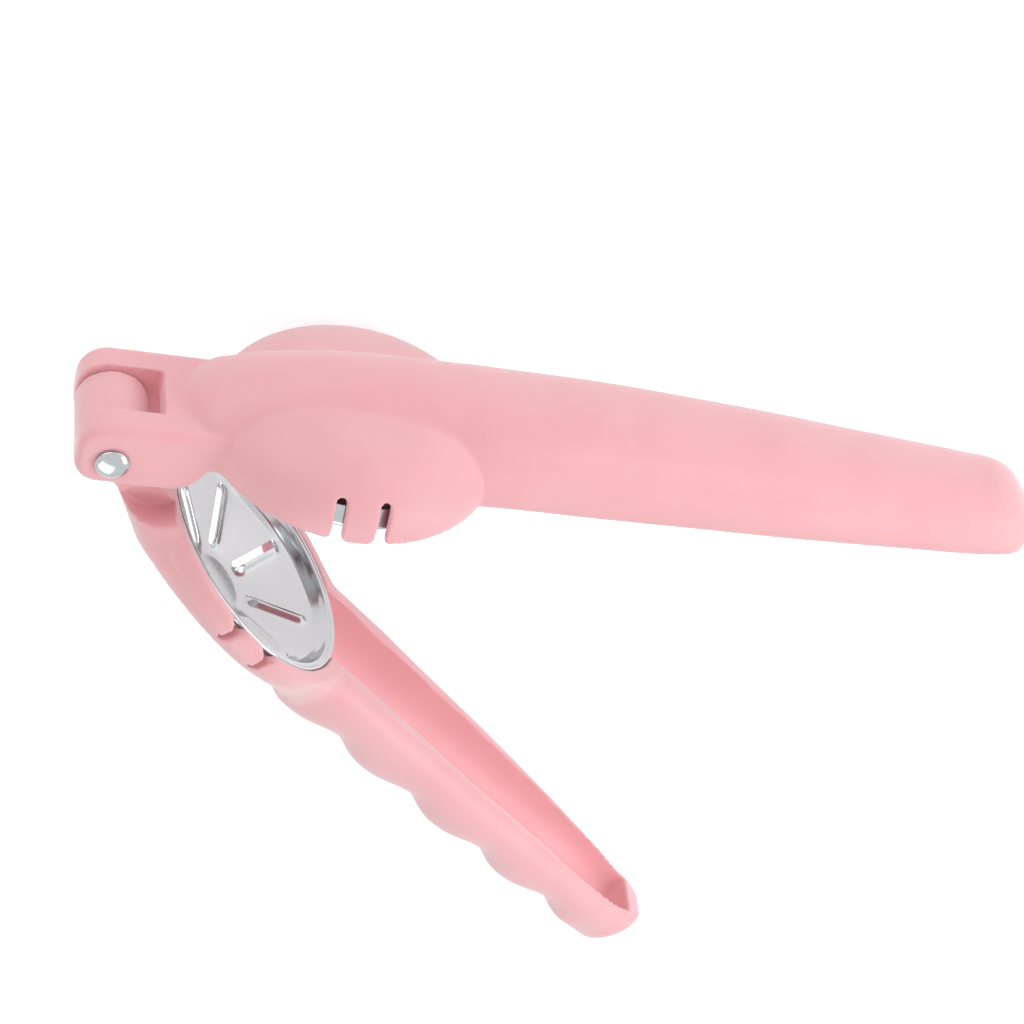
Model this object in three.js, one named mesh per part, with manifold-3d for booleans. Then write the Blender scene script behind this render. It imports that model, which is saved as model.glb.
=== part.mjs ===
import * as THREE from 'three';
import { mergeVertices } from 'three/addons/utils/BufferGeometryUtils.js';
import Module from 'manifold-3d';

const wasm = await Module();
wasm.setup();

// Hand-held citrus squeezer lying on its side, millimetres, +Z up.
// The hinge axis stands along Z. Each arm is drawn in its own frame:
// s runs from the hinge axis to the end, h points away from the other arm, y is across.

// Overall sizes
const ARM_LENGTH = 205.6;      // hinge axis to the end of the upper handle
const LOWER_LENGTH = 204;      // hinge axis to the end of the lower handle
const OPEN_ANGLE = 41.3;       // degrees between the two arms at rest
const CUP_DISTANCE = 51;       // hinge axis to the middle of the cup
const BOWL_RADIUS = 31.6;      // outside of the upper bowl and the lower ring
const BOWL_HEIGHT = 18.6;      // upper bowl above its rim
const WALL = 2.6;              // moulded wall
const RIM_LEVEL = 0.4;         // rim of each arm above the plane where they meet

// Hinge
const HINGE_WIDTH = 28.8;      // across the outside of the two ears
const BARREL_WIDTH = 13.6;     // knuckle of the lower arm
const SIDE_GAP = 0.35;         // between knuckle and each ear
const BARREL_RADIUS = 7.8;
const EAR_TOP = 9.1;
const EAR_BOTTOM = 6.4;
const EAR_END = 21;            // where the ears run into the bowl
const EAR_FILLET = 2.2;
const WINDOW_END = 10;         // end of the open slot between the ears
const WEB_LEVEL = 2;           // underside of the bridge joining the two ears
const PIN_RADIUS = 2.5;
const PIN_GAP = 0.3;           // running clearance round the pin
const PIN_HEAD_RADIUS = 3.6;
const PIN_HEAD_HEIGHT = 1.4;
const SEAT = 0.3;              // gap between pieces that touch

// Upper arm
const SPINE_START = 14.5;      // nose of the raised spine
const SPINE_WIDTH = 30;
const SPINE_HEIGHT = 23.6;
const GRIP_WIDTH = 32.6;
const GRIP_HEIGHT = 22;
const SKIRT_SLOT = 2.3;
const TONGUE_WIDTH = 7;
const SLOT_HEIGHT = 9.6;       // up from the rim

// Lower arm
const HULL_DEPTH = 14;         // round the cup
const RING_DEPTH = 5;
const LIP_WIDTH = 4.6;         // rounding of the handle's rim, across
const LIP_DEPTH = 8;           // and down the flank
const LOWER_WIDTH = 36.6;
const LOWER_DEPTH = 20.2;
const CHANNEL_WIDTH = 22.6;
const CHANNEL_DEPTH = 13.6;
const WAVE_PITCH = 26.7;
const WAVE_DEPTH = 3.1;
const WAVE_COUNT = 4;
const FIRST_WAVE = 97.4;
const RING_SLOT = 1.5;
const RING_TONGUE_WIDTH = 8.5;
const RING_TONGUE_SHIFT = 3;   // tongue towards the hinge from the middle of the cup
const RING_SLOT_DEPTH = 6.5;
const POCKET_DEPTH = 7.4;      // room for the ears when the arms close

// Metal parts
const RING_WALL = 2.9;         // ring of the lower arm outside the cup's flange
const CUP_FLANGE_RADIUS = BOWL_RADIUS - RING_WALL - SEAT;
const CUP_FLANGE_WIDTH = 2.6;
const CUP_MOUTH_RADIUS = CUP_FLANGE_RADIUS - CUP_FLANGE_WIDTH;
const CUP_FLOOR_RADIUS = 7.8;
const CUP_DEPTH = 11.6;
const CUP_SHOULDER = 2;         // width of the curve between the cup's wall and its cone
const CUP_SHOULDER_RADIUS = CUP_MOUTH_RADIUS - CUP_SHOULDER;
const CUP_SHOULDER_DEPTH = 4.6;
const CUP_WALL = 0.9;
const SLOT_COUNT = 7;
const SLOT_WIDTH = 1.8;
const SLOT_INNER = CUP_FLOOR_RADIUS + 1.2;
const SLOT_OUTER = CUP_SHOULDER_RADIUS - 0.8;
const SLOT_SHIFT = 1.4;        // slots stand this much to one side of the cup's radii
const DOME_GAP = 0.8;          // round the dome's flange, inside the bowl
const DOME_FLANGE_RADIUS = BOWL_RADIUS - WALL - DOME_GAP;
const DOME_FLANGE_WIDTH = 4.7;
const DOME_RIM_LEVEL = 1.6;
const DOME_MOUTH_RADIUS = DOME_FLANGE_RADIUS - DOME_FLANGE_WIDTH;
const DOME_DROP = 8.2;
const DOME_EDGE = 5;           // turned-up edge of the dome's flange

const PINK = '#f2b9bd';
const STEEL = '#b9b9b6';

function signedVolume(points, triangles) {
  const corner = (k) => new THREE.Vector3().fromArray(points, triangles[k] * 3);
  let volume = 0;
  for (let k = 0; k < triangles.length; k += 3) {
    volume += corner(k).dot(corner(k + 1).cross(corner(k + 2))) / 6;
  }
  return volume;
}

// A geometry as a solid with its faces turned outwards.
function solid(geometry) {
  const clean = geometry.clone();
  clean.deleteAttribute('normal');
  clean.deleteAttribute('uv');
  const merged = mergeVertices(clean, 1e-4);
  const vertProperties = new Float32Array(merged.attributes.position.array);
  const triVerts = new Uint32Array(merged.index.array);
  if (signedVolume(vertProperties, triVerts) < 0) triVerts.reverse();
  return new wasm.Manifold(new wasm.Mesh({ numProp: 3, vertProperties, triVerts }));
}

function geometryOf(body) {
  const mesh = body.getMesh();
  const geometry = new THREE.BufferGeometry();
  geometry.setAttribute('position', new THREE.BufferAttribute(new Float32Array(mesh.vertProperties), 3));
  geometry.setIndex(new THREE.BufferAttribute(new Uint32Array(mesh.triVerts), 1));
  return geometry;
}

function unite(bodies) {
  return bodies.reduce((sum, body) => sum.add(body));
}

// Closed rings of equal length joined one after the other, capped at both ends.
function loft(rings) {
  const count = rings[0].length;
  const positions = [];
  const index = [];
  for (const ring of rings) {
    for (const point of ring) positions.push(...point);
  }
  for (let r = 0; r + 1 < rings.length; r++) {
    for (let i = 0; i < count; i++) {
      const j = (i + 1) % count;
      const a = r * count + i;
      const b = r * count + j;
      index.push(a, b, b + count, a, b + count, a + count);
    }
  }
  for (const end of [0, rings.length - 1]) {
    const centre = [0, 1, 2].map((k) => rings[end].reduce((sum, p) => sum + p[k], 0) / count);
    const tip = positions.length / 3;
    positions.push(...centre);
    for (let i = 0; i < count; i++) {
      const a = end * count + i;
      const b = end * count + ((i + 1) % count);
      if (end === 0) index.push(tip, b, a);
      else index.push(tip, a, b);
    }
  }
  const geometry = new THREE.BufferGeometry();
  geometry.setAttribute('position', new THREE.BufferAttribute(new Float32Array(positions), 3));
  geometry.setIndex(index);
  return solid(geometry);
}

// One section of an arm: flat along the rim, arched away from it. The edge of the rim is
// rounded over a width of lip and a depth in proportion to it.
function arch(s, halfWidth, rim, top, power, lip = 0) {
  const ring = [];
  const steps = 22;
  for (let i = 0; i <= steps; i++) {
    const t = (Math.PI * i) / steps;
    const c = Math.cos(t);
    const h = rim + (top - rim) * Math.sin(t) ** (2 / power);
    const rise = lip > 0 ? Math.min(1, ((h - rim) * LIP_WIDTH) / (lip * LIP_DEPTH)) : 1;
    const inset = lip * (1 - Math.sqrt(1 - (1 - rise) ** 2));
    const y = halfWidth * Math.abs(c) ** (2 / power) - Math.min(inset, halfWidth * Math.abs(c));
    ring.push([s, -y * Math.sign(c), h]);
  }
  const flat = halfWidth - lip;
  for (const y of [flat / 2, 0, -flat / 2]) ring.push([s, y, rim]);
  return ring;
}

function archLoft(stations) {
  return loft(stations.map((station) => arch(...station)));
}

// A lathe standing on the h axis at distance s from the hinge.
function turned(profile, s, segments) {
  const points = profile.map(([r, h]) => new THREE.Vector2(r, h));
  const geometry = new THREE.LatheGeometry(points, segments);
  geometry.rotateX(Math.PI / 2);
  geometry.translate(s, 0, 0);
  return solid(geometry);
}

// A flat outline in s and h given thickness across the arm.
function plate(shape, from, to, options) {
  const geometry = new THREE.ExtrudeGeometry(shape, {
    depth: to - from,
    bevelEnabled: false,
    curveSegments: 10,
    ...options,
  });
  geometry.rotateX(Math.PI / 2);
  geometry.translate(0, to, 0);
  return solid(geometry);
}

function box(s0, s1, y0, y1, h0, h1) {
  const geometry = new THREE.BoxGeometry(s1 - s0, y1 - y0, h1 - h0);
  geometry.translate((s0 + s1) / 2, (y0 + y1) / 2, (h0 + h1) / 2);
  return solid(geometry);
}

// A round bar across the arm, centred on the hinge axis.
function bar(radius, y0, y1, segments = 40) {
  const geometry = new THREE.CylinderGeometry(radius, radius, y1 - y0, segments);
  geometry.translate(0, (y0 + y1) / 2, 0);
  return solid(geometry);
}

// Side view of the hinge block: round at the back, flat on top, stepped down to the skirt.
function earShape() {
  const shape = new THREE.Shape();
  shape.moveTo(-BARREL_RADIUS, 1.5);
  shape.absarc(-BARREL_RADIUS + 6.6, EAR_TOP - 6.6, 6.6, Math.PI, Math.PI / 2, true);
  shape.lineTo(EAR_END + 8, EAR_TOP);
  shape.lineTo(EAR_END + 8, RIM_LEVEL);
  shape.lineTo(EAR_END, RIM_LEVEL);
  shape.quadraticCurveTo(EAR_END - 2.5, -EAR_BOTTOM + 0.4, EAR_END - 7.5, -EAR_BOTTOM);
  shape.lineTo(-BARREL_RADIUS + 5.2, -EAR_BOTTOM);
  shape.absarc(-BARREL_RADIUS + 5.2, -EAR_BOTTOM + 5.2, 5.2, -Math.PI / 2, -Math.PI, true);
  shape.closePath();
  return shape;
}

// The block with its outer side edges rounded over.
function earBlock() {
  const half = HINGE_WIDTH / 2 - EAR_FILLET;
  const geometry = new THREE.ExtrudeGeometry(earShape(), {
    depth: half * 2,
    bevelEnabled: true,
    bevelThickness: EAR_FILLET,
    bevelSize: EAR_FILLET,
    bevelOffset: -EAR_FILLET,
    bevelSegments: 3,
    curveSegments: 8,
  });
  geometry.rotateX(Math.PI / 2);
  geometry.translate(0, half, 0);
  return solid(geometry);
}

// Short upright skirt under a dome that is fuller at the shoulder than an ellipse.
function bowlProfile(radius, height, foot) {
  const skirt = 2;
  const fullness = 2 / 2.3;
  const steps = 14;
  const profile = [[0, foot], [radius, foot]];
  for (let i = 0; i < steps; i++) {
    const t = (Math.PI / 2) * (i / steps);
    profile.push([
      radius * Math.cos(t) ** fullness,
      skirt + (height - skirt) * Math.sin(t) ** fullness,
    ]);
  }
  profile.push([0, height]);
  return profile;
}

// Half width, height and squareness of the upper arm, as shares of its driving sizes.
function upperStations(inset) {
  const foot = inset > 0 ? -6 : RIM_LEVEL;
  const nose = [
    [0, 0.42, 0.42, 2],
    [1.2, 0.7, 0.5, 2.05],
    [3, 0.86, 0.58, 2.15],
    [6, 0.95, 0.66, 2.3],
    [9, 0.96, 0.72, 2.2],
    [13, 1, 0.8, 2.1],
    [18, 1, 0.865, 2.05],
    [25, 1, 0.93, 2],
    [32, 1, 0.975, 2],
    [42, 1, 0.99, 2.05],
    [52, 1, 0.99, 2.1],
    [61, 1.02, 0.985, 2.15],
  ];
  const grip = [
    [0, 1, 1.015, 2.25],
    [0.17, 0.99, 0.995, 2.3],
    [0.34, 0.965, 0.94, 2.3],
    [0.5, 0.945, 0.875, 2.3],
    [0.65, 0.905, 0.8, 2.3],
    [0.78, 0.86, 0.745, 2.3],
    [0.87, 0.83, 0.7, 2.3],
    [0.942, 0.77, 0.65, 2.3],
    [0.958, 0.745, 0.61, 2.25],
    [0.975, 0.69, 0.53, 2.2],
    [0.992, 0.56, 0.41, 2.1],
    [1, 0.34, 0.3, 2],
  ];
  const gripStart = SPINE_START + 71;
  const gripLength = ARM_LENGTH - gripStart;
  const stations = nose.map(([ds, w, h, power]) => [
    SPINE_START + ds + inset, (SPINE_WIDTH / 2) * w - inset, foot, SPINE_HEIGHT * h - inset, power]);
  for (const [share, w, h, power] of grip) {
    const s = gripStart + share * gripLength - inset;
    stations.push([s, (GRIP_WIDTH / 2) * w - inset, foot, GRIP_HEIGHT * h - inset, power]);
  }
  return stations;
}

// Two slots either side of a snap tongue, cut in from the rim on both flanks of a bowl.
function tongueSlots(middle, tongue, width, depth) {
  const cutters = [];
  for (const side of [-1, 1]) {
    for (const offset of [-1, 1]) {
      const s = middle + offset * (tongue + width) / 2;
      const y0 = side > 0 ? BOWL_RADIUS - 7 : -BOWL_RADIUS - 4;
      const r = width / 2;
      const shape = new THREE.Shape();
      shape.moveTo(s - r, -4);
      shape.lineTo(s + r, -4);
      shape.lineTo(s + r, depth - r);
      shape.absarc(s, depth - r, r, 0, Math.PI, false);
      shape.closePath();
      cutters.push(plate(shape, y0, y0 + 11, { curveSegments: 4 }));
    }
  }
  return unite(cutters);
}

function upperArm() {
  const shell = unite([
    archLoft(upperStations(0)),
    turned(bowlProfile(BOWL_RADIUS, BOWL_HEIGHT, RIM_LEVEL), CUP_DISTANCE, 64),
    earBlock(),
  ]);
  const bowlHollow = turned(
    bowlProfile(BOWL_RADIUS - WALL, BOWL_HEIGHT - WALL, -6), CUP_DISTANCE, 64);
  const handleHollow = archLoft(
    upperStations(WALL).filter((station) => station[0] > CUP_DISTANCE - 20));
  const slotHalf = BARREL_WIDTH / 2 + SIDE_GAP;
  return shell
    .subtract(bowlHollow)
    .subtract(handleHollow)
    .subtract(tongueSlots(CUP_DISTANCE, TONGUE_WIDTH, SKIRT_SLOT, SLOT_HEIGHT))
    .subtract(box(-30, WINDOW_END, -slotHalf, slotHalf, -30, 30))
    .subtract(box(0, EAR_END + 6, -slotHalf, slotHalf, -30, WEB_LEVEL))
    .subtract(bar(PIN_RADIUS + PIN_GAP, -40, 40));
}

// Depth of the lower handle: it thins towards the end and is scalloped for the fingers.
function gripDepth(s) {
  const fade = Math.max(0, (s - 83) / (LOWER_LENGTH - 83));
  const base = LOWER_DEPTH * (1 - 0.21 * fade);
  const last = FIRST_WAVE + WAVE_PITCH * (WAVE_COUNT - 0.5);
  if (s < FIRST_WAVE - WAVE_PITCH / 2 || s > last) return base;
  const swing = Math.cos((Math.PI * (s - FIRST_WAVE)) / WAVE_PITCH) ** 2;
  return base - WAVE_DEPTH * swing ** 1.25;
}

function blend(table, x) {
  let k = 0;
  while (k < table.length - 2 && x > table[k + 1][0]) k++;
  const [x0, v0] = table[k];
  const [x1, v1] = table[k + 1];
  return v0 + ((v1 - v0) * (x - x0)) / (x1 - x0);
}

function gripHalfWidth(s) {
  const share = (s - 83) / (LOWER_LENGTH - 83);
  const table = [
    [-0.2, 1], [0.14, 1], [0.26, 0.95], [0.39, 0.925], [0.47, 0.905], [0.55, 0.865],
    [0.64, 0.815], [0.72, 0.755], [0.8, 0.685], [0.88, 0.615], [0.95, 0.5],
  ];
  return (LOWER_WIDTH / 2) * blend(table, share);
}

// Hull round the cup and the handle behind it, as one run of sections.
function lowerStations() {
  const stations = [
    [9, 7.5, RIM_LEVEL, 7.7, 2.6],
    [12.5, 12.5, RIM_LEVEL, 8.7, 2.5],
  ];
  const start = CUP_DISTANCE - BOWL_RADIUS;
  for (const share of [0.02, 0.08, 0.16, 0.27, 0.4, 0.52, 0.64, 0.76]) {
    const s = start + share * 2 * BOWL_RADIUS;
    const chord = Math.sqrt(BOWL_RADIUS ** 2 - (s - CUP_DISTANCE) ** 2) - 0.3;
    const depth = HULL_DEPTH * (share < 0.08 ? 0.89 : share > 0.7 ? 1.07 : 1);
    stations.push([s, Math.max(chord, 15), RIM_LEVEL, depth, 2.5]);
  }
  const cupEnd = CUP_DISTANCE + BOWL_RADIUS;
  stations.push([cupEnd - 6, 20.5, RIM_LEVEL, 17.8, 2.6, LIP_WIDTH * 0.5]);
  const last = LOWER_LENGTH - 7;
  const count = 34;
  for (let k = 0; k <= count; k++) {
    const s = cupEnd - 1.5 + ((last - cupEnd + 1.5) * k) / count;
    stations.push([s, gripHalfWidth(s), RIM_LEVEL, gripDepth(s), 2.6, LIP_WIDTH]);
  }
  const w = gripHalfWidth(last);
  const d = gripDepth(last);
  stations.push([last + 3.2, w * 0.95, RIM_LEVEL, d, 2.4, LIP_WIDTH * 0.9]);
  stations.push([last + 5.4, w * 0.82, RIM_LEVEL, d * 0.95, 2.3, LIP_WIDTH * 0.75]);
  stations.push([last + 6.6, w * 0.62, RIM_LEVEL, d * 0.83, 2.2, LIP_WIDTH * 0.5]);
  stations.push([last + 7, w * 0.42, RIM_LEVEL, d * 0.68, 2.1, LIP_WIDTH * 0.3]);
  return stations;
}

// Open hollow of the lower handle. It runs in under the flange of the cup.
function lowerChannel() {
  const start = CUP_DISTANCE + CUP_FLANGE_RADIUS + 1.2;
  const last = LOWER_LENGTH - 5;
  const table = [
    [-0.03, 1, 1], [0, 1, 1], [0.2, 0.955, 0.97], [0.42, 0.96, 0.9], [0.58, 0.9, 0.84],
    [0.75, 0.85, 0.76], [0.88, 0.76, 0.7], [0.95, 0.64, 0.64], [1, 0.48, 0.55],
  ];
  return archLoft(table.map(([share, w, d]) => [
    start + share * (last - start), (CHANNEL_WIDTH / 2) * w, -4, CHANNEL_DEPTH * d, 3.4]));
}

function ringProfile() {
  return [
    [0, RIM_LEVEL],
    [BOWL_RADIUS, RIM_LEVEL],
    [BOWL_RADIUS, 2],
    [BOWL_RADIUS - 0.4, RING_DEPTH],
    [0, RING_DEPTH],
  ];
}

// Space for the cup: a seat for its flange, and a clear bore round its wall, open below.
function ringHollow() {
  const seat = CUP_FLANGE_RADIUS + SEAT;
  const inner = CUP_MOUTH_RADIUS + CUP_WALL + SEAT;
  return turned([
    [0, -4],
    [seat, -4],
    [seat, 1.9 + SEAT],
    [inner, 1.9 + SEAT],
    [inner, 30],
    [0, 30],
  ], CUP_DISTANCE, 64);
}

function neckShape() {
  const shape = new THREE.Shape();
  shape.moveTo(0, BARREL_RADIUS);
  shape.lineTo(11, 7.6);
  shape.lineTo(20, 11.5);
  shape.lineTo(24, 12.5);
  shape.lineTo(24, RIM_LEVEL);
  shape.lineTo(15, RIM_LEVEL);
  shape.lineTo(11.5, -1);
  shape.lineTo(BARREL_RADIUS * 0.8, -BARREL_RADIUS * 0.6);
  shape.lineTo(0, 0);
  shape.closePath();
  return shape;
}

// Recesses beside the neck that take the two ears when the arms close.
function earPockets() {
  const inner = BARREL_WIDTH / 2;
  const outer = HINGE_WIDTH / 2 + 1;
  const shape = new THREE.Shape();
  shape.moveTo(0, -4);
  shape.lineTo(0, POCKET_DEPTH);
  shape.lineTo(EAR_END - 6.5, POCKET_DEPTH);
  shape.quadraticCurveTo(EAR_END - 1, POCKET_DEPTH, EAR_END + 1, -1);
  shape.lineTo(EAR_END + 1, -4);
  shape.closePath();
  return plate(shape, inner, outer).add(plate(shape, -outer, -inner));
}

function lowerArm() {
  const half = BARREL_WIDTH / 2;
  const hull = unite([
    archLoft(lowerStations()),
    turned(ringProfile(), CUP_DISTANCE, 64),
  ]).subtract(earPockets());
  const clear = bar(BARREL_RADIUS + 1.2, -40, 40);
  const body = unite([
    hull.subtract(clear),
    plate(neckShape(), -half, half),
    bar(BARREL_RADIUS, -half, half),
  ]);
  const pinHole = bar(PIN_RADIUS + PIN_GAP, -40, 40);
  const middle = CUP_DISTANCE - RING_TONGUE_SHIFT;
  return body
    .subtract(ringHollow())
    .subtract(lowerChannel())
    .subtract(tongueSlots(middle, RING_TONGUE_WIDTH, RING_SLOT, RING_SLOT_DEPTH))
    .subtract(pinHole);
}

// Sheet cup: flange, short wall, cone and flat floor, pierced by radial slots.
function strainerCup() {
  const m = CUP_MOUTH_RADIUS;
  const t = CUP_WALL;
  let cup = turned([
    [0, CUP_DEPTH],
    [CUP_FLOOR_RADIUS, CUP_DEPTH],
    [CUP_SHOULDER_RADIUS, CUP_SHOULDER_DEPTH],
    [m - 0.6, 2.6],
    [m, 1],
    [m + 0.6, 0.5],
    [CUP_FLANGE_RADIUS, 0.5],
    [CUP_FLANGE_RADIUS, 1.9],
    [m + t, 1.9],
    [m - 0.6 + t, 3],
    [CUP_SHOULDER_RADIUS + 0.8 * t, CUP_SHOULDER_DEPTH + 0.7 * t],
    [CUP_FLOOR_RADIUS + 0.3 * t, CUP_DEPTH + t],
    [0, CUP_DEPTH + t],
  ], CUP_DISTANCE, 70);
  for (let k = 0; k < SLOT_COUNT; k++) {
    const geometry = new THREE.BoxGeometry(SLOT_OUTER - SLOT_INNER, SLOT_WIDTH, 30);
    geometry.translate((SLOT_OUTER + SLOT_INNER) / 2, -SLOT_SHIFT, 12);
    geometry.rotateZ((2 * Math.PI * k) / SLOT_COUNT);
    geometry.translate(CUP_DISTANCE, 0, 0);
    cup = cup.subtract(solid(geometry));
  }
  return cup;
}

// Press dome: a dished sheet with a turned-up flange, held in the skirt, bulging to the cup.
function pressDome() {
  const m = DOME_MOUTH_RADIUS;
  const z = DOME_RIM_LEVEL;
  const t = CUP_WALL;
  return turned([
    [0, -DOME_DROP],
    [8, -DOME_DROP],
    [m - 2.5, z - 4.2],
    [m - 0.8, z - 2],
    [m, z],
    [DOME_FLANGE_RADIUS, z],
    [DOME_FLANGE_RADIUS, z + 1],
    [DOME_FLANGE_RADIUS - t, z + DOME_EDGE],
    [DOME_FLANGE_RADIUS - 2 * t, z + DOME_EDGE],
    [DOME_FLANGE_RADIUS - 1.1 * t, z + 1.3],
    [m - 0.6 * t, z + 1.3],
    [m - 0.8 - t, z - 1.6],
    [m - 2.9 - 0.5 * t, z - 3.4],
    [7.7, t - DOME_DROP],
    [0, t - DOME_DROP],
  ], CUP_DISTANCE, 70);
}

function hingePin() {
  const out = HINGE_WIDTH / 2 + SEAT;
  const geometry = new THREE.LatheGeometry([
    new THREE.Vector2(0, -HINGE_WIDTH / 2 + 0.2),
    new THREE.Vector2(PIN_RADIUS, -HINGE_WIDTH / 2 + 0.2),
    new THREE.Vector2(PIN_RADIUS, out),
    new THREE.Vector2(PIN_HEAD_RADIUS, out),
    new THREE.Vector2(PIN_HEAD_RADIUS, out + 0.4),
    new THREE.Vector2(PIN_HEAD_RADIUS * 0.86, out + PIN_HEAD_HEIGHT * 0.72),
    new THREE.Vector2(PIN_HEAD_RADIUS * 0.5, out + PIN_HEAD_HEIGHT * 0.95),
    new THREE.Vector2(0, out + PIN_HEAD_HEIGHT),
  ], 40);
  return solid(geometry);
}

function pinCap() {
  const out = HINGE_WIDTH / 2 + SEAT;
  const geometry = new THREE.LatheGeometry([
    new THREE.Vector2(0, out),
    new THREE.Vector2(PIN_HEAD_RADIUS, out),
    new THREE.Vector2(PIN_HEAD_RADIUS, out + 0.4),
    new THREE.Vector2(PIN_HEAD_RADIUS * 0.86, out + PIN_HEAD_HEIGHT * 0.72),
    new THREE.Vector2(PIN_HEAD_RADIUS * 0.5, out + PIN_HEAD_HEIGHT * 0.95),
    new THREE.Vector2(0, out + PIN_HEAD_HEIGHT),
  ], 40);
  geometry.rotateX(Math.PI);
  return solid(geometry);
}

// Arm frame (s, y, h) to the standing object: h is up for the upper arm.
function placedUpper(body) {
  const geometry = geometryOf(body);
  geometry.applyMatrix4(new THREE.Matrix4().makeRotationX(-Math.PI / 2));
  return geometry;
}

function placedLower(body) {
  const geometry = geometryOf(body);
  const mirror = new THREE.Matrix4().makeRotationX(Math.PI / 2);
  geometry.applyMatrix4(mirror);
  geometry.rotateZ(THREE.MathUtils.degToRad(-OPEN_ANGLE));
  return geometry;
}

function piece(name, geometry, colour, roughness, metalness) {
  const flat = geometry.index ? geometry.toNonIndexed() : geometry;
  flat.computeVertexNormals();
  const material = new THREE.MeshStandardMaterial({ color: colour, roughness, metalness });
  const mesh = new THREE.Mesh(flat, material);
  mesh.name = name;
  return mesh;
}

const group = new THREE.Group();
group.name = 'citrus_squeezer';
group.add(piece('upper_arm', placedUpper(upperArm()), PINK, 0.55, 0));
group.add(piece('lower_arm', placedLower(lowerArm()), PINK, 0.55, 0));
group.add(piece('strainer_cup', placedLower(strainerCup()), STEEL, 0.3, 1));
group.add(piece('press_dome', placedUpper(pressDome()), STEEL, 0.3, 1));
group.add(piece('hinge_pin', placedUpper(hingePin()), STEEL, 0.35, 1));
group.add(piece('hinge_pin_cap', placedUpper(pinCap()), STEEL, 0.35, 1));

// Stand the group on z = 0 with the middle of its footprint at the origin.
const bounds = new THREE.Box3().setFromObject(group);
const middle = bounds.getCenter(new THREE.Vector3());
for (const mesh of group.children) {
  mesh.geometry.translate(-middle.x, -middle.y, -bounds.min.z);
}

export default group;
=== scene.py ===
import math

import bmesh
import bpy
import numpy as np
from mathutils import Matrix, Vector


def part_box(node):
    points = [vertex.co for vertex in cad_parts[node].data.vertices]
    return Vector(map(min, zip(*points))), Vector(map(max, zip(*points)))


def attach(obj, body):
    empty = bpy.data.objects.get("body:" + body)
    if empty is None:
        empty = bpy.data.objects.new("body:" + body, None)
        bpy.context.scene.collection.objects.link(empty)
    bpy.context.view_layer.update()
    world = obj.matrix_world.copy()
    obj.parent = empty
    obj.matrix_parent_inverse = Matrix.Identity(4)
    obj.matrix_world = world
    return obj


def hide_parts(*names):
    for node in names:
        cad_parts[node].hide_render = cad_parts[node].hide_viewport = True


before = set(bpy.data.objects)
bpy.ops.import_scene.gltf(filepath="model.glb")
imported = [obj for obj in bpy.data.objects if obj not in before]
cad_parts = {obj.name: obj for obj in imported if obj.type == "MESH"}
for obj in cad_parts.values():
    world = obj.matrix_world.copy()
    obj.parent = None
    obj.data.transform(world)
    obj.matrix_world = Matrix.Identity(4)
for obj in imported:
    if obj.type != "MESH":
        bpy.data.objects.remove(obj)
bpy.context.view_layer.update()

# The camera looks down on the tool from beyond the back of the upper arm through a long lens,
# so the two arms show nearly in true proportion and the hinge stands at the left.
MM = 0.001
OPEN_ANGLE = math.radians(41.3)
CAMERA_AZIMUTH = math.radians(-5.76)
CAMERA_ELEVATION = math.radians(41.82)
CAMERA_DISTANCE = 0.7
CAMERA_TILT = math.radians(13.68)
CAMERA_LENS = 116.262
HINGE_LEFT_OF_CENTRE = 0.084817
HINGE_ABOVE_CENTRE = 0.019664
pin_low, pin_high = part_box("hinge_pin")
arm_low, arm_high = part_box("upper_arm")
HINGE = Vector((
    (pin_low[0] + pin_high[0]) / 2,
    (pin_low[1] + pin_high[1]) / 2,
    (arm_low[2] + arm_high[2]) / 2,
))


def arm_matrix(angle):
    """Arm sizes in mm, s along the arm, y across, h away from the other arm, to the frame."""
    turn = Matrix.Rotation(angle, 4, "Z")
    return Matrix.Translation(HINGE) @ turn @ Matrix.Scale(MM, 4)


def place_camera():
    toward = Vector((
        math.sin(CAMERA_AZIMUTH) * math.cos(CAMERA_ELEVATION),
        math.sin(CAMERA_ELEVATION),
        math.cos(CAMERA_AZIMUTH) * math.cos(CAMERA_ELEVATION),
    ))
    right = Vector((math.cos(CAMERA_AZIMUTH), 0, -math.sin(CAMERA_AZIMUTH)))
    # The upper arm points slightly down in the view, so the view directions are turned back.
    tilt = Matrix.Rotation(CAMERA_TILT, 3, "Z")
    toward, right = tilt @ toward, tilt @ right
    up = toward.cross(right)
    camera_data = bpy.data.cameras.new("camera")
    camera_data.sensor_width = 36
    camera_data.lens = CAMERA_LENS
    camera_data.clip_start = 0.05
    camera_data.clip_end = 10
    camera = bpy.data.objects.new("camera", camera_data)
    bpy.context.collection.objects.link(camera)
    centre = HINGE + right * HINGE_LEFT_OF_CENTRE - up * HINGE_ABOVE_CENTRE
    rotation = Matrix((right, up, toward)).transposed().to_4x4()
    camera.matrix_world = Matrix.Translation(centre + toward * CAMERA_DISTANCE) @ rotation
    bpy.context.scene.camera = camera


place_camera()


# Plain white ground under the tool. It is matt paper: it takes a soft shadow and shows white
# to the camera and in the polished metal.
FLOOR_GLOW = 0.6
FLOOR_REACH = 4
FLOOR_LEVEL = -0.0005


def linear(hex_colour):
    values = [int(hex_colour[i:i + 2], 16) / 255 for i in (1, 3, 5)]
    return [v / 12.92 if v <= 0.04045 else ((v + 0.055) / 1.055) ** 2.4 for v in values] + [1]


def add(tree, kind, settings=None, **links):
    """Adds a node, sets its properties or inputs, and joins its inputs to other sockets."""
    node = tree.nodes.new(kind)
    for name, value in (settings or {}).items():
        if hasattr(node, name):
            setattr(node, name, value)
        else:
            node.inputs[name].default_value = value
    for name, socket in links.items():
        tree.links.new(socket, node.inputs[name.replace("_", " ")])
    return node


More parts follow.
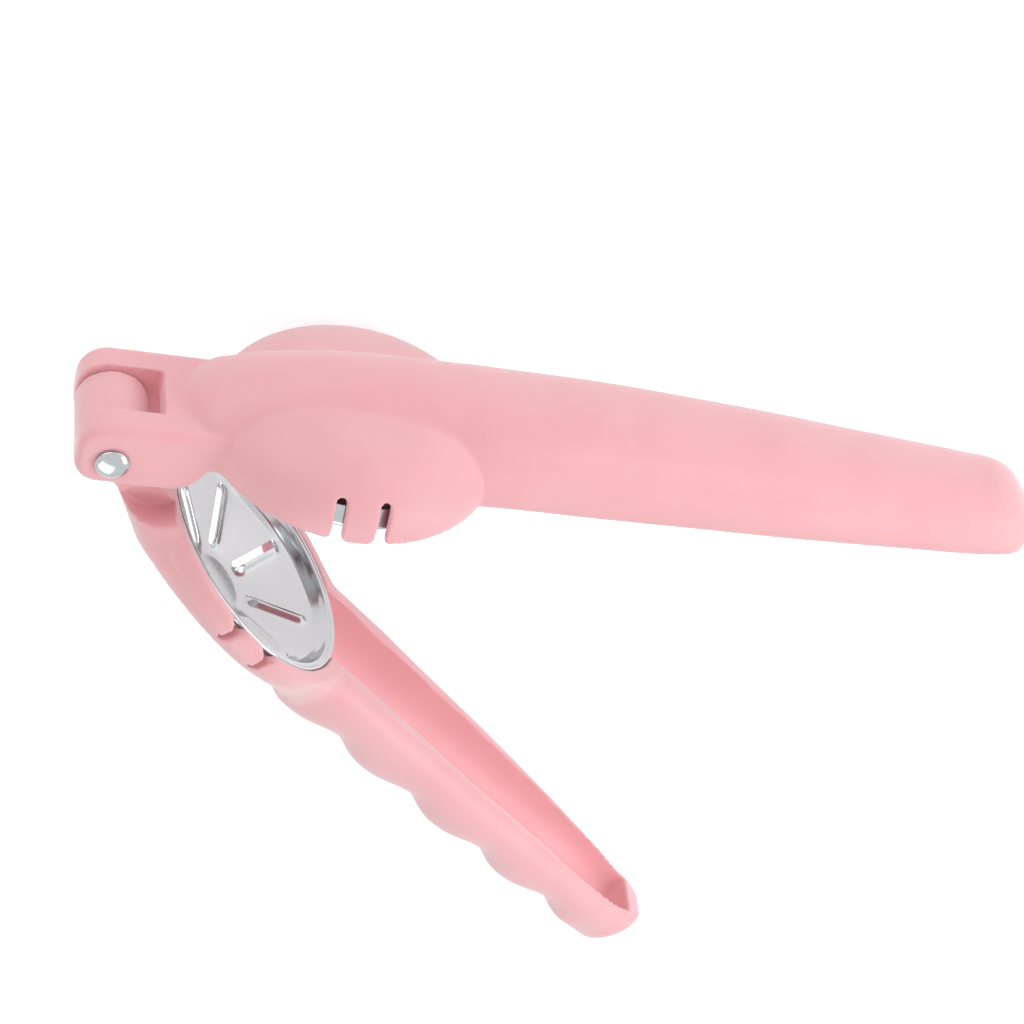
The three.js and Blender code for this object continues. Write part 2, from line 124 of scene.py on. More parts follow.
def new_object(name, verts, faces):
    mesh = bpy.data.meshes.new(name)
    mesh.from_pydata([tuple(v) for v in verts], [], [tuple(f) for f in faces])
    mesh.update()
    obj = bpy.data.objects.new(name, mesh)
    bpy.context.collection.objects.link(obj)
    return obj


def seen_directly(tree):
    """One for what the eye, the polished metal or a clear body sees, nought for stray light."""
    path = add(tree, "ShaderNodeLightPath")
    seen = path.outputs["Is Camera Ray"]
    for ray in ("Is Glossy Ray", "Is Transmission Ray"):
        either = add(tree, "ShaderNodeMath", {"operation": "MAXIMUM"})
        tree.links.new(seen, either.inputs[0])
        tree.links.new(path.outputs[ray], either.inputs[1])
        seen = either.outputs[0]
    return seen


def paper_material():
    material = bpy.data.materials.new("matt white paper")
    material.use_nodes = True
    tree = material.node_tree
    tree.nodes.clear()
    matt = add(tree, "ShaderNodeBsdfDiffuse", {"Color": linear("#ECECEC")})
    white = add(tree, "ShaderNodeEmission", {"Color": (1, 1, 1, 1)})
    strength = add(tree, "ShaderNodeMath", {"operation": "MULTIPLY"})
    strength.inputs[1].default_value = FLOOR_GLOW
    tree.links.new(seen_directly(tree), strength.inputs[0])
    tree.links.new(strength.outputs[0], white.inputs["Strength"])
    both = add(tree, "ShaderNodeAddShader")
    tree.links.new(matt.outputs[0], both.inputs[0])
    tree.links.new(white.outputs[0], both.inputs[1])
    out = add(tree, "ShaderNodeOutputMaterial")
    tree.links.new(both.outputs[0], out.inputs["Surface"])
    return material


corners = [(x * FLOOR_REACH, y * FLOOR_REACH, FLOOR_LEVEL) for x, y in ((-1, -1), (1, -1), (1, 1), (-1, 1))]
floor = new_object("floor", corners, [(0, 1, 2, 3)])
floor.data.materials.append(paper_material())


# Room light: an even white surround and four soft lamps. The strongest stands off the ends of
# the handles, two are low on the side that the camera looks from, and one is high across from it.
ROOM_LIGHT = 0.42


def light_world():
    world = bpy.data.worlds.new("white studio")
    bpy.context.scene.world = world
    world.use_nodes = True
    tree = world.node_tree
    tree.nodes.clear()
    strength = add(tree, "ShaderNodeMapRange",
                   {"From Min": 0, "From Max": 1, "To Min": ROOM_LIGHT, "To Max": 1.0})
    tree.links.new(seen_directly(tree), strength.inputs["Value"])
    back = add(tree, "ShaderNodeBackground", {"Color": (1, 1, 1, 1)})
    tree.links.new(strength.outputs["Result"], back.inputs["Strength"])
    out = add(tree, "ShaderNodeOutputWorld")
    tree.links.new(back.outputs[0], out.inputs["Surface"])


def area_lamp(name, place, target, width, height, power):
    lamp = bpy.data.lights.new(name, "AREA")
    lamp.shape = "RECTANGLE"
    lamp.size = width
    lamp.size_y = height
    lamp.energy = power
    obj = bpy.data.objects.new(name, lamp)
    bpy.context.collection.objects.link(obj)
    obj.location = place
    obj.rotation_euler = (Vector(target) - Vector(place)).to_track_quat("-Z", "Y").to_euler()


light_world()
LAMP_TARGET = (0, 0, 0.03)
area_lamp("lamp_end", (0.6, 0.05, 0.57), LAMP_TARGET, 0.6, 0.4, 2.9)
area_lamp("lamp_back", (-0.5, 0.6, 0.15), LAMP_TARGET, 0.7, 0.25, 1.6)
area_lamp("lamp_side", (0.55, 0.55, 0.28), LAMP_TARGET, 0.7, 0.35, 1.35)
area_lamp("lamp_front", (-0.25, -0.5, 0.65), LAMP_TARGET, 0.6, 0.4, 2.0)


# Upper arm: one moulding in pink nylon. A hollow spine and handle, a round bowl standing out
# on both flanks with a snap tongue on each, and two ears at the hinge.
PINK = "#F4B1B7"
BARREL_RADIUS = 7.8
HINGE_WIDTH = 28.8
BARREL_WIDTH = 13.6
BOWL_RADIUS = 31.6
BOWL_HEIGHT = 18.6
CUP_DISTANCE = 51.0
ARM_LENGTH = 205.6
RIM = 0.4
WALL = 2.6
LIP = 4.6
LIP_DEPTH = 8.0
EAR_TOP = 9.1
EAR_BOTTOM = -6.4
EAR_END = 21
EAR_UPPER_RADIUS = 6.6
EAR_LOWER_RADIUS = 5.2
EAR_FILLET = 2.4
PIN_HOLE_RADIUS = 2.8
HINGE_PLAY = 0.35


def loft(rings, name):
    """Joins closed rings of equal length and closes both ends."""
    rings = np.asarray(rings, float)
    count, size = rings.shape[:2]
    verts = list(rings.reshape(-1, 3))
    i = np.arange(size)
    j = (i + 1) % size
    faces = []
    for r in range(count - 1):
        a, b = r * size, (r + 1) * size
        faces += [(a + p, a + q, b + q, b + p) for p, q in zip(i, j)]
    faces += [tuple(i[::-1]), tuple(i + (count - 1) * size)]
    obj = new_object(name, verts, faces)
    outwards(obj)
    return obj


def outwards(obj):
    mesh = bmesh.new()
    mesh.from_mesh(obj.data)
    bmesh.ops.remove_doubles(mesh, verts=mesh.verts, dist=1e-5)
    bmesh.ops.recalc_face_normals(mesh, faces=mesh.faces)
    mesh.to_mesh(obj.data)
    mesh.free()


def arch(s, half_width, rim, top, power, lip=0.0, flute=0.0):
    """Section of an arm: flat along the rim, rounded by lip at its edge, arched above.
    The flute is a soft hollow along the flank, under the spine."""
    t = np.pi / 2 * np.linspace(0, 1, 40) ** 1.8
    h = rim + (top - rim) * np.sin(t) ** (2 / power)
    y = half_width * np.abs(np.cos(t)) ** (2 / power)
    if lip > 0:
        rise = np.minimum(1, (h - rim) / (lip * LIP_DEPTH / LIP))
        y = np.maximum(y - lip * (1 - np.sqrt(1 - (1 - rise) ** 2)), 0)
    y = np.maximum(y - flute * np.exp(-((h - rim - 0.6 * (top - rim)) / 2.6) ** 2), 0)
    one_side = list(zip(y, h))
    other_side = [(-a, b) for a, b in one_side[-2::-1]]
    flat = np.linspace(-y[0], y[0], 14)[1:-1]
    return [(s, a, b) for a, b in one_side + other_side] + [(s, a, rim) for a in flat]


def smooth_stations(stations, step=1.5):
    """Fills in sections between the driving ones along a smooth curve."""
    table = np.asarray(stations, float)
    s = table[:, 0]
    knots = np.arange(s[0], s[-1], step)
    knots = np.unique(np.concatenate([knots, s]))
    slopes = np.gradient(table, s, axis=0)
    filled = []
    for x in knots:
        k = min(max(np.searchsorted(s, x, side="right") - 1, 0), len(s) - 2)
        width = s[k + 1] - s[k]
        u = (x - s[k]) / width
        rising, falling = u * u * (3 - 2 * u), 1 - u * u * (3 - 2 * u)
        row = table[k] * falling + table[k + 1] * rising
        row = row + slopes[k] * width * u * (1 - u) ** 2 - slopes[k + 1] * width * u * u * (1 - u)
        row[0] = x
        filled.append(row)
    return filled


def arch_loft(stations, name, step=1.5):
    return loft([arch(*row) for row in smooth_stations(stations, step)], name)


def turned(profile, s, name, segments=160):
    """Turns a profile of radius and height about the h axis at distance s."""
    rings = []
    for angle in np.linspace(0, 2 * np.pi, segments, endpoint=False):
        rings.append([(s + r * math.cos(angle), r * math.sin(angle), h) for r, h in profile])
    rings = np.asarray(rings)
    count, size = rings.shape[:2]
    faces = []
    for a in range(count):
        b = (a + 1) % count
        for k in range(size - 1):
            faces.append((a * size + k, b * size + k, b * size + k + 1, a * size + k + 1))
    obj = new_object(name, rings.reshape(-1, 3), faces)
    outwards(obj)
    return obj


def plate(outline, y0, y1, name):
    """An outline in s and h given thickness across the arm."""
    count = len(outline)
    verts = [(s, y0, h) for s, h in outline] + [(s, y1, h) for s, h in outline]
    faces = [(i, (i + 1) % count, (i + 1) % count + count, i + count) for i in range(count)]
    faces += [tuple(range(count))[::-1], tuple(range(count, 2 * count))]
    obj = new_object(name, verts, faces)
    outwards(obj)
    return obj


def block(s0, s1, y0, y1, h0, h1, name):
    return plate([(s0, h0), (s1, h0), (s1, h1), (s0, h1)], y0, y1, name)


def bar(radius, y0, y1, name, sides=96):
    ring = [(radius * math.cos(a), radius * math.sin(a))
            for a in np.linspace(0, 2 * math.pi, sides, endpoint=False)]
    return plate(ring, y0, y1, name)


def combine(target, tool, operation):
    modifier = target.modifiers.new("join", "BOOLEAN")
    modifier.operation = operation
    modifier.solver = "EXACT"
    modifier.object = tool
    apply_modifiers(target)
    bpy.data.objects.remove(tool)


def apply_modifiers(obj):
    graph = bpy.context.evaluated_depsgraph_get()
    mesh = bpy.data.meshes.new_from_object(obj.evaluated_get(graph))
    obj.modifiers.clear()
    obj.data = mesh


def arc(centre_s, centre_h, radius, start, end, steps=14):
    angles = np.radians(np.linspace(start, end, steps))
    return [(centre_s + radius * math.cos(a), centre_h + radius * math.sin(a)) for a in angles]


def ear_outline(inset):
    """Side view of the hinge block, round at the back and stepped down to the bowl."""
    left, top, bottom = -BARREL_RADIUS + inset, EAR_TOP - inset, EAR_BOTTOM + inset
    end, foot = EAR_END - inset, RIM + inset
    upper, lower = EAR_UPPER_RADIUS - inset, EAR_LOWER_RADIUS - inset
    points = arc(left + upper, top - upper, upper, 180, 90)
    points += [(29, top), (29, foot), (end + 0.5, foot)]
    for u in np.linspace(0.1, 1, 10):
        s = (1 - u) ** 2 * end + 2 * u * (1 - u) * (end - 2.5) + u * u * (end - 7.5)
        h = (1 - u) ** 2 * foot + (1 - (1 - u) ** 2) * bottom
        points.append((s, h))
    points += arc(left + lower, bottom + lower, lower, 270, 180)
    return points


def ear_block():
    """The outline thickened, with its flank edges rounded over."""
    half = HINGE_WIDTH / 2
    rings = []
    for angle in np.linspace(0, 90, 9):
        inset = EAR_FILLET * (1 - math.sin(math.radians(angle)))
        y = half - EAR_FILLET + EAR_FILLET * math.cos(math.radians(angle))
        rings.append((y, inset))
    rings = [(-y, inset) for y, inset in rings] + [(y, inset) for y, inset in reversed(rings)]
    return loft([[(s, y, h) for s, h in ear_outline(inset)] for y, inset in rings], "ears")


def bowl_profile(radius, height, foot, steps=40):
    skirt, fullness = 2, 2 / 2.3
    profile = [(0, foot), (radius * 0.5, foot), (radius, foot)]
    for t in np.linspace(0, math.pi / 2, steps)[:-1]:
        profile.append((radius * math.cos(t) ** fullness,
                        skirt + (height - skirt) * math.sin(t) ** fullness))
    return profile + [(0, height)]


# Sections along the arm: place, share of the full width, share of the full height, roundness.
SPINE_START = 14.5
NOSE = [
    (0, 0.42, 0.42, 2), (1.2, 0.7, 0.5, 2.05), (3, 0.86, 0.58, 2.15), (6, 0.95, 0.66, 2.3),
    (9, 0.96, 0.72, 2.2), (13, 1, 0.8, 2.1), (18, 1, 0.865, 2.05), (25, 1, 0.93, 2), (32, 1, 0.975, 2),
    (42, 1, 0.99, 2.05), (52, 1, 0.99, 2.1), (61, 1.02, 0.985, 2.15),
]
GRIP = [
    (0, 1, 1.015, 2.25), (0.17, 0.99, 0.995, 2.3), (0.34, 0.965, 0.94, 2.3),
    (0.5, 0.945, 0.875, 2.3), (0.65, 0.905, 0.8, 2.3), (0.78, 0.86, 0.745, 2.3),
    (0.87, 0.83, 0.7, 2.3), (0.942, 0.77, 0.65, 2.3), (0.958, 0.745, 0.61, 2.25),
    (0.975, 0.69, 0.53, 2.2), (0.992, 0.56, 0.41, 2.1), (1, 0.34, 0.3, 2),
]


SPINE_HALF_WIDTH, SPINE_HEIGHT = 15, 23.6
GRIP_HALF_WIDTH, GRIP_HEIGHT = 16.3, 22


def upper_stations(inset):
    foot, lip, flute = (-6, 0, 0) if inset else (RIM, 1.8, 0.8)
    stations = [(SPINE_START + ds + inset, SPINE_HALF_WIDTH * w - inset, foot,
                 SPINE_HEIGHT * h - inset, power, 0,
                 flute * np.interp(ds, [25, 50], [0, 1])) for ds, w, h, power in NOSE]
    start = SPINE_START + 71
    for share, w, h, power in GRIP:
        s = start + share * (ARM_LENGTH - start) - inset
        fade = np.interp(share, [0.5, 0.93], [1, 0])
        stations.append((s, GRIP_HALF_WIDTH * w - inset, foot, GRIP_HEIGHT * h - inset, power, lip,
                         flute * fade))
    return stations


def cut_tongue(target, middle, tongue, width, depth, corner):
    """Two slots on each flank of a bowl, either side of its snap tongue, rounded at the rim."""
    for side in (-1, 1):
        for offset in (-1, 1):
            s = middle + offset * (tongue + width) / 2
            outline = [(s - width / 2 - corner, -4), (s + width / 2 + corner, -4)]
            outline += arc(s + width / 2 + corner, RIM + corner, corner, 270, 180)
            outline += arc(s, depth - width / 2, width / 2, 0, 180)
            outline += arc(s - width / 2 - corner, RIM + corner, corner, 0, -90)
            inner, outer = sorted((side * (BOWL_RADIUS - 7), side * (BOWL_RADIUS + 4)))
            tool = plate(outline, inner, outer, "slot")
            combine(target, tool, "DIFFERENCE")


SKIN_VOXEL = 0.45
SKIN_PASSES = 4


def mould_skin(obj):
    """Gives a joined solid the small radii that a moulding has along every edge."""
    remesh = obj.modifiers.new("skin", "REMESH")
    remesh.mode = "VOXEL"
    remesh.voxel_size = SKIN_VOXEL
    remesh.use_smooth_shade = True
    soften = obj.modifiers.new("soften", "SMOOTH")
    soften.factor = 0.5
    soften.iterations = SKIN_PASSES
    apply_modifiers(obj)


def nylon_material(name, colour, shade):
    """Moulded nylon: satin skin with a fine spark-eroded grain and a slight bleed of light."""
    material = bpy.data.materials.new(name)
    material.use_nodes = True
    tree = material.node_tree
    tree.nodes.clear()
    place = add(tree, "ShaderNodeTexCoord")
    # Grain of about 0.5 mm, drawn twice as coarse as the real mould texture so that it shows.
    grain = add(tree, "ShaderNodeTexNoise", {"Scale": 2000.0, "Detail": 3.0, "Roughness": 0.6},
                Vector=place.outputs["Object"])
    drift = add(tree, "ShaderNodeTexNoise", {"Scale": 60.0, "Detail": 2.0},
                Vector=place.outputs["Object"])
    tint = add(tree, "ShaderNodeValToRGB", Fac=drift.outputs["Fac"])
    tint.color_ramp.elements[0].position = 0.35
    tint.color_ramp.elements[0].color = linear(shade)
    tint.color_ramp.elements[1].position = 0.65
    tint.color_ramp.elements[1].color = linear(colour)
    rough = add(tree, "ShaderNodeMapRange",
                {"From Min": 0.3, "From Max": 0.7, "To Min": 0.46, "To Max": 0.58},
                Value=grain.outputs["Fac"])
    bump = add(tree, "ShaderNodeBump", {"Strength": 0.12, "Distance": 0.0002},
               Height=grain.outputs["Fac"])
    skin = add(tree, "ShaderNodeBsdfPrincipled", {
        "IOR": 1.53,
        "Subsurface Weight": 0.2,
        "Subsurface Radius": (0.004, 0.0012, 0.001),
        "Subsurface Scale": 1.0,
        "Specular IOR Level": 0.7,
        "Sheen Weight": 0.6,
        "Sheen Roughness": 0.6,
    }, Base_Color=tint.outputs["Color"], Roughness=rough.outputs["Result"],
        Normal=bump.outputs["Normal"])
    out = add(tree, "ShaderNodeOutputMaterial")
    tree.links.new(skin.outputs[0], out.inputs["Surface"])
    return material


def finish_arm(obj, angle, flip, material):
    """Turns an arm from its own sizes into the frame and gives it its skin."""
    side = Matrix.Rotation(-math.pi / 2 if flip > 0 else math.pi / 2, 4, "X")
    obj.data.transform(arm_matrix(angle) @ side)
    obj.data.update()
    obj.data.materials.clear()
    obj.data.materials.append(material)
    obj.data.shade_smooth()


pink_nylon = nylon_material("moulded pink nylon", PINK, "#F2ACB2")


def build_upper_arm():
    arm = arch_loft(upper_stations(0), "upper_arm_moulding")
    combine(arm, turned(bowl_profile(BOWL_RADIUS, BOWL_HEIGHT, RIM), CUP_DISTANCE, "bowl"), "UNION")
    combine(arm, ear_block(), "UNION")
    hollow = turned(bowl_profile(BOWL_RADIUS - WALL, BOWL_HEIGHT - WALL, -6), CUP_DISTANCE, "hollow")
    combine(arm, hollow, "DIFFERENCE")
    inside = [row for row in upper_stations(WALL) if row[0] > CUP_DISTANCE - 20]
    combine(arm, arch_loft(inside, "trough"), "DIFFERENCE")
    cut_tongue(arm, CUP_DISTANCE, 7, 2.3, 9.6, 0.9)
    half = BARREL_WIDTH / 2 + HINGE_PLAY
    combine(arm, block(-30, 10, -half, half, -30, 30, "window"), "DIFFERENCE")
    combine(arm, block(0, 27, -half, half, -30, 2, "window"), "DIFFERENCE")
    combine(arm, bar(PIN_HOLE_RADIUS, -40, 40, "pin_hole"), "DIFFERENCE")
    mould_skin(arm)
    finish_arm(arm, 0, 1, pink_nylon)
    return arm


upper_arm = build_upper_arm()
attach(upper_arm, "upper")
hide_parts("upper_arm")


# Lower arm: the second nylon moulding. A knuckle and neck, a deep ring that holds the strainer,
# and an open channel handle scalloped for four fingers.
LOWER_LENGTH = 204.0
FIRST_WAVE = 97.4
WAVE_PITCH = 26.7
SCALLOP_DEPTH = 3.1
# Share of the way along the handle, share of the full width.
WIDTHS = [
    (-0.2, 1), (0.14, 1), (0.26, 0.95), (0.39, 0.925), (0.47, 0.905), (0.55, 0.865),
    (0.64, 0.815), (0.72, 0.755), (0.8, 0.685), (0.88, 0.615), (0.95, 0.5),
]


def grip_depth(s):
    base = 20.2 * (1 - 0.21 * max(0, (s - 83) / (LOWER_LENGTH - 83)))
    if s < FIRST_WAVE - WAVE_PITCH / 2 or s > FIRST_WAVE + WAVE_PITCH * 3.5:
        return base
    swing = math.cos(math.pi * (s - FIRST_WAVE) / WAVE_PITCH) ** 2
    return base - SCALLOP_DEPTH * swing ** 1.25


def grip_half_width(s):
    share = (s - 83) / (LOWER_LENGTH - 83)
    return 18.3 * np.interp(share, *zip(*WIDTHS))


def lower_stations():
    stations = [(9, 7.5, RIM, 7.7, 2.6, 0), (12.5, 12.5, RIM, 8.7, 2.5, 0)]
    start = CUP_DISTANCE - BOWL_RADIUS
    for share in (0.02, 0.08, 0.16, 0.27, 0.4, 0.52, 0.64, 0.76):
        s = start + share * 2 * BOWL_RADIUS
        chord = math.sqrt(BOWL_RADIUS ** 2 - (s - CUP_DISTANCE) ** 2) - 0.3
        depth = 14 * (0.89 if share < 0.08 else 1.07 if share > 0.7 else 1)
        stations.append((s, max(chord, 15), RIM, depth, 2.5, 0))
    end = CUP_DISTANCE + BOWL_RADIUS
    stations.append((end - 6, 20.5, RIM, 17.8, 2.6, LIP * 0.5))
    last = LOWER_LENGTH - 7
    for s in np.linspace(end - 1.5, last, 50):
        stations.append((s, grip_half_width(s), RIM, grip_depth(s), 2.6, LIP))
    w, d = grip_half_width(last), grip_depth(last)
    stations.append((last + 3.2, w * 0.95, RIM, d, 2.4, LIP * 0.9))
    stations.append((last + 5.4, w * 0.82, RIM, d * 0.95, 2.3, LIP * 0.75))
    stations.append((last + 6.6, w * 0.62, RIM, d * 0.83, 2.2, LIP * 0.5))
    stations.append((last + 7, w * 0.42, RIM, d * 0.68, 2.1, LIP * 0.3))
    return stations


def lower_channel():
    start, last = CUP_DISTANCE + 29.6, LOWER_LENGTH - 5
    table = [(-0.03, 1, 1), (0, 1, 1), (0.2, 0.955, 0.97), (0.42, 0.96, 0.9), (0.58, 0.9, 0.84),
             (0.75, 0.85, 0.76), (0.88, 0.76, 0.7), (0.95, 0.64, 0.64), (1, 0.48, 0.55)]
    channel = arch_loft([(start + share * (last - start), 11.3 * w, -4, 13.6 * d, 3.4)
                         for share, w, d in table], "channel")
    # Below the cup's flange the wall of the ring closes the channel off.
    wall = turned([(0, 2.4), (29.2, 2.4), (29.2, 30), (0, 30)], CUP_DISTANCE, "wall")
    combine(channel, wall, "DIFFERENCE")
    return channel


def build_lower_arm():
    arm = arch_loft(lower_stations(), "lower_arm_moulding")
    r = BOWL_RADIUS
    ring = turned([(0, RIM), (r / 2, RIM), (r, RIM), (r, 2), (r - 0.4, 5), (0, 5)], CUP_DISTANCE, "ring")
    combine(arm, ring, "UNION")
    inner, outer = BARREL_WIDTH / 2, HINGE_WIDTH / 2 + 1
    pocket = [(0, -4), (22, -4), (22, -1)]
    for u in np.linspace(0.1, 1, 8):
        s = (1 - u) ** 2 * 22 + 2 * u * (1 - u) * 20 + u * u * 14.5
        h = (1 - u) ** 2 * -1 + (1 - (1 - u) ** 2) * 7.4
        pocket.append((s, h))
    pocket.append((0, 7.4))
    combine(arm, plate(pocket, inner, outer, "pocket"), "DIFFERENCE")
    combine(arm, plate(pocket, -outer, -inner, "pocket"), "DIFFERENCE")
    combine(arm, bar(BARREL_RADIUS + 1.2, -40, 40, "clear"), "DIFFERENCE")
    neck = [(0, BARREL_RADIUS), (11, 7.6), (20, 11.5), (24, 12.5), (24, RIM), (15, RIM),
            (11.5, -1), (BARREL_RADIUS * 0.8, -BARREL_RADIUS * 0.6), (0, 0)]
    combine(arm, plate(neck, -inner, inner, "neck"), "UNION")
    combine(arm, bar(BARREL_RADIUS, -inner, inner, "barrel"), "UNION")
    bore = [(0, -4), (14, -4), (28.5, -4), (28.5, 2.2), (27, 2.2), (27, 30), (0, 30)]
    combine(arm, turned(bore, CUP_DISTANCE, "bore"), "DIFFERENCE")
    combine(arm, lower_channel(), "DIFFERENCE")
    cut_tongue(arm, CUP_DISTANCE - 3, 8.5, 1.5, 6.5, 2.4)
    combine(arm, bar(PIN_HOLE_RADIUS, -40, 40, "pin_hole"), "DIFFERENCE")
    mould_skin(arm)
    finish_arm(arm, -OPEN_ANGLE, -1, pink_nylon)
    return arm


lower_arm = build_lower_arm()
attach(lower_arm, "lower")
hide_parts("lower_arm")


# Strainer cup: deep-drawn stainless sheet with a rolled flange, a shallow cone and a flat floor.
# Radial slots let the juice through, each with a raised rib beside it.
CUP_DEPTH = 11.6
SLOT_COUNT = 7
SLOT_SHIFT = 1.4
SHEET = 0.9
RIB_HEIGHT = 1.1
CUP_RADII = [0, 7.0, 8.2, 22.8, 24.6, 25.8, 26.4, 26.7, 27.0, 27.3, 27.8, 28.2, 28.4]
CUP_DEPTHS = [CUP_DEPTH, CUP_DEPTH, 11.3, 5.0, 3.9, 2.2, 0.9, 0.8, 1.1, 0.95, 0.45, 0.65, 1.0]


def cup_height(r, angle):
    """Inner surface of the cup as a depth below the flange."""
    base = np.interp(r, CUP_RADII, CUP_DEPTHS)
    pitch = 2 * math.pi / SLOT_COUNT
    local = (angle + pitch / 2) % pitch - pitch / 2
    along, across = r * np.cos(local), r * np.sin(local) + SLOT_SHIFT
    beside = across - 0.8
    reach = np.clip((along - 8) / 3, 0, 1) * np.clip((24 - along) / 3.5, 0, 1)
    reach = reach * reach * (3 - 2 * reach)
    lift = np.where(beside < 0, np.exp(-(beside / 0.5) ** 2), np.exp(-(beside / 1.7) ** 2))
    return base - RIB_HEIGHT * lift * reach


def build_cup():
    radii = np.concatenate([np.linspace(0.4, 7, 8), np.linspace(7.4, 24.8, 66),
                            np.linspace(25.1, 28.4, 16)])
    angles = np.linspace(0, 2 * np.pi, 616, endpoint=False)
    verts, faces = [], []
    for offset in (0, SHEET):
        for r in radii:
            for a in angles:
                h = float(cup_height(r, a)) + offset
                verts.append((CUP_DISTANCE + r * math.cos(a), r * math.sin(a), h))
    rows, cols = len(radii), len(angles)
    layer = rows * cols
    for side in (0, 1):
        for i in range(rows - 1):
            for j in range(cols):
                k = (j + 1) % cols
                face = (i * cols + j, i * cols + k, (i + 1) * cols + k, (i + 1) * cols + j)
                faces.append(tuple(side * layer + v for v in (face if side else face[::-1])))
    for j in range(cols):
        k = (j + 1) % cols
        last = (rows - 1) * cols
        faces.append((last + j, last + k, layer + last + k, layer + last + j))
    for side in (0, 1):
        tip = len(verts)
        verts.append((CUP_DISTANCE, 0, CUP_DEPTH + side * SHEET))
        faces += [(tip, side * layer + (j + 1) % cols, side * layer + j) for j in range(cols)]
    cup = new_object("strainer_cup_sheet", verts, faces)
    outwards(cup)
    for k in range(SLOT_COUNT):
        turn = 2 * math.pi * k / SLOT_COUNT
        outline = arc(22.1, 0, 0.9, -90, 90) + arc(9.9, 0, 0.9, 90, 270)
        verts = [(CUP_DISTANCE + x * math.cos(turn) - (y - SLOT_SHIFT) * math.sin(turn),
                  x * math.sin(turn) + (y - SLOT_SHIFT) * math.cos(turn), h)
                 for h in (-4, 20) for x, y in outline]
        count = len(outline)
        faces = [(i, (i + 1) % count, (i + 1) % count + count, i + count) for i in range(count)]
        faces += [tuple(range(count))[::-1], tuple(range(count, 2 * count))]
        tool = new_object("slot", verts, faces)
        outwards(tool)
        combine(cup, tool, "DIFFERENCE")
    return cup


def steel_material():
    """Polished stainless sheet: bright, with fine unordered polishing marks that blur it a little."""
    material = bpy.data.materials.new("polished stainless sheet")
    material.use_nodes = True
    tree = material.node_tree
    tree.nodes.clear()
    place = add(tree, "ShaderNodeTexCoord")
    # Marks about a millimetre across that break up finer.
    marks = add(tree, "ShaderNodeTexNoise", {"Scale": 900.0, "Detail": 4.0, "Roughness": 0.7},
                Vector=place.outputs["Object"])
    rough = add(tree, "ShaderNodeMapRange",
                {"From Min": 0.3, "From Max": 0.7, "To Min": 0.1, "To Max": 0.18},
                Value=marks.outputs["Fac"])
    bump = add(tree, "ShaderNodeBump", {"Strength": 0.05, "Distance": 0.0001},
               Height=marks.outputs["Fac"])
    metal = add(tree, "ShaderNodeBsdfPrincipled", {"Base Color": linear("#BFC2C5"), "Metallic": 1.0},
                Roughness=rough.outputs["Result"], Normal=bump.outputs["Normal"])
    out = add(tree, "ShaderNodeOutputMaterial")
    tree.links.new(metal.outputs[0], out.inputs["Surface"])
    return material


stainless = steel_material()
cup = build_cup()
finish_arm(cup, -OPEN_ANGLE, -1, stainless)
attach(cup, "lower")
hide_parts("strainer_cup")


# Press dome: a second stainless pressing held under the bowl by its flange. It bulges towards
# the cup and shows only as an edge through the tongue slots and from below.
DISH_RADIUS = 23.5
FLANGE_FACE = 1.6


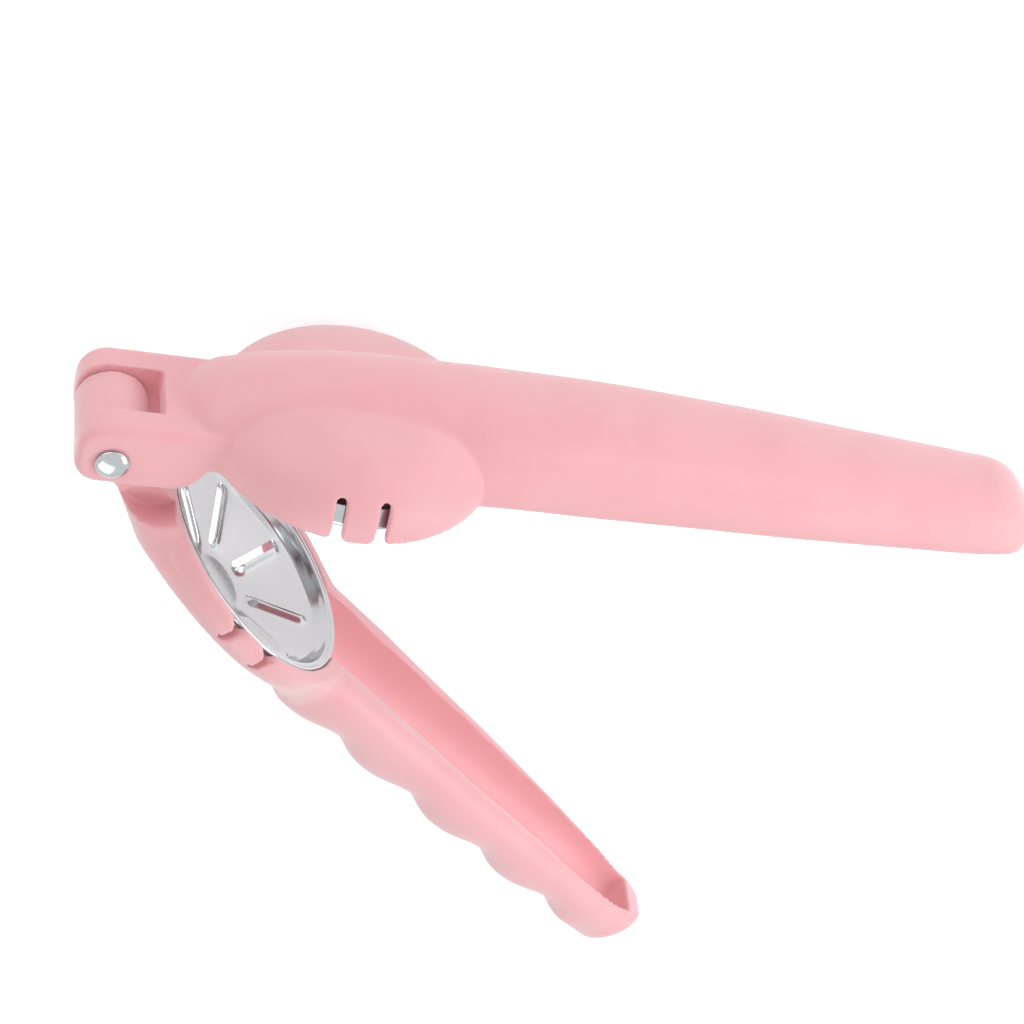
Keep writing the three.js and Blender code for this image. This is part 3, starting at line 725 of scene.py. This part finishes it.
def build_dome():
    m, z = DISH_RADIUS, FLANGE_FACE
    profile = [(0, -8.2), (4, -8.2), (7.4, -8.1), (8.6, -7.6), (m - 3, z - 4.6), (m - 2, z - 4),
               (m - 1.1, z - 2.6), (m - 0.5, z - 0.8), (m + 0.6, z), (28.0, z), (28.2, z + 0.3),
               (28.2, z + 1.0), (27.4, z + 4.9), (27.1, z + 5.1), (26.8, z + 4.9), (27.2, z + 1.3),
               (m, z + 1.3), (m - 1, z + 0.6),
               (m - 2, z - 2.2), (m - 3.4, z - 3.6), (8.3, -6.9), (7.3, -7.3), (0, -7.3)]
    return turned(profile, CUP_DISTANCE, "press_dome_sheet")


dome = build_dome()
finish_arm(dome, 0, 1, stainless)
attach(dome, "upper")
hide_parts("press_dome")


# Hinge rivet: a bright steel pin through both ears and the knuckle, with a low domed head,
# closed at the far end by a cap of the same shape.
PIN_RADIUS = 2.5
HEAD_RADIUS = 3.6
HEAD_HEIGHT = 1.4
HEAD_GAP = 0.3


def head_profile(flip):
    out = HINGE_WIDTH / 2 + HEAD_GAP
    points = [(HEAD_RADIUS - 0.15, out), (HEAD_RADIUS, out + 0.15), (HEAD_RADIUS, out + 0.35)]
    for t in np.linspace(0.25, math.pi / 2, 14):
        points.append((HEAD_RADIUS * math.cos(t), out + 0.1 + (HEAD_HEIGHT - 0.1) * math.sin(t)))
    return [(r, flip * y) for r, y in points[:-1]] + [(0, flip * (out + HEAD_HEIGHT))]


def turned_on_hinge(profile, name, sides=96):
    rings = [[(r * math.cos(a), y, r * math.sin(a)) for r, y in profile]
             for a in np.linspace(0, 2 * math.pi, sides, endpoint=False)]
    rings = np.asarray(rings)
    count, size = rings.shape[:2]
    faces = [(a * size + k, (a + 1) % count * size + k, (a + 1) % count * size + k + 1, a * size + k + 1)
             for a in range(count) for k in range(size - 1)]
    obj = new_object(name, rings.reshape(-1, 3), faces)
    outwards(obj)
    obj.data.transform(arm_matrix(0) @ Matrix.Rotation(-math.pi / 2, 4, "X"))
    return obj


def build_pin():
    start = -HINGE_WIDTH / 2 + 0.2
    shaft = [(0, start), (PIN_RADIUS, start), (PIN_RADIUS, HINGE_WIDTH / 2 + HEAD_GAP)]
    return turned_on_hinge(shaft + head_profile(1), "hinge_pin_turned")


def build_cap():
    return turned_on_hinge([(0, -HINGE_WIDTH / 2 - HEAD_GAP)] + head_profile(-1), "hinge_cap_turned")


for piece, node in ((build_pin(), "hinge_pin"), (build_cap(), "hinge_pin_cap")):
    piece.data.materials.append(stainless)
    piece.data.shade_smooth()
    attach(piece, "upper")
    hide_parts(node)


bpy.context.scene.view_settings.view_transform = "Standard"
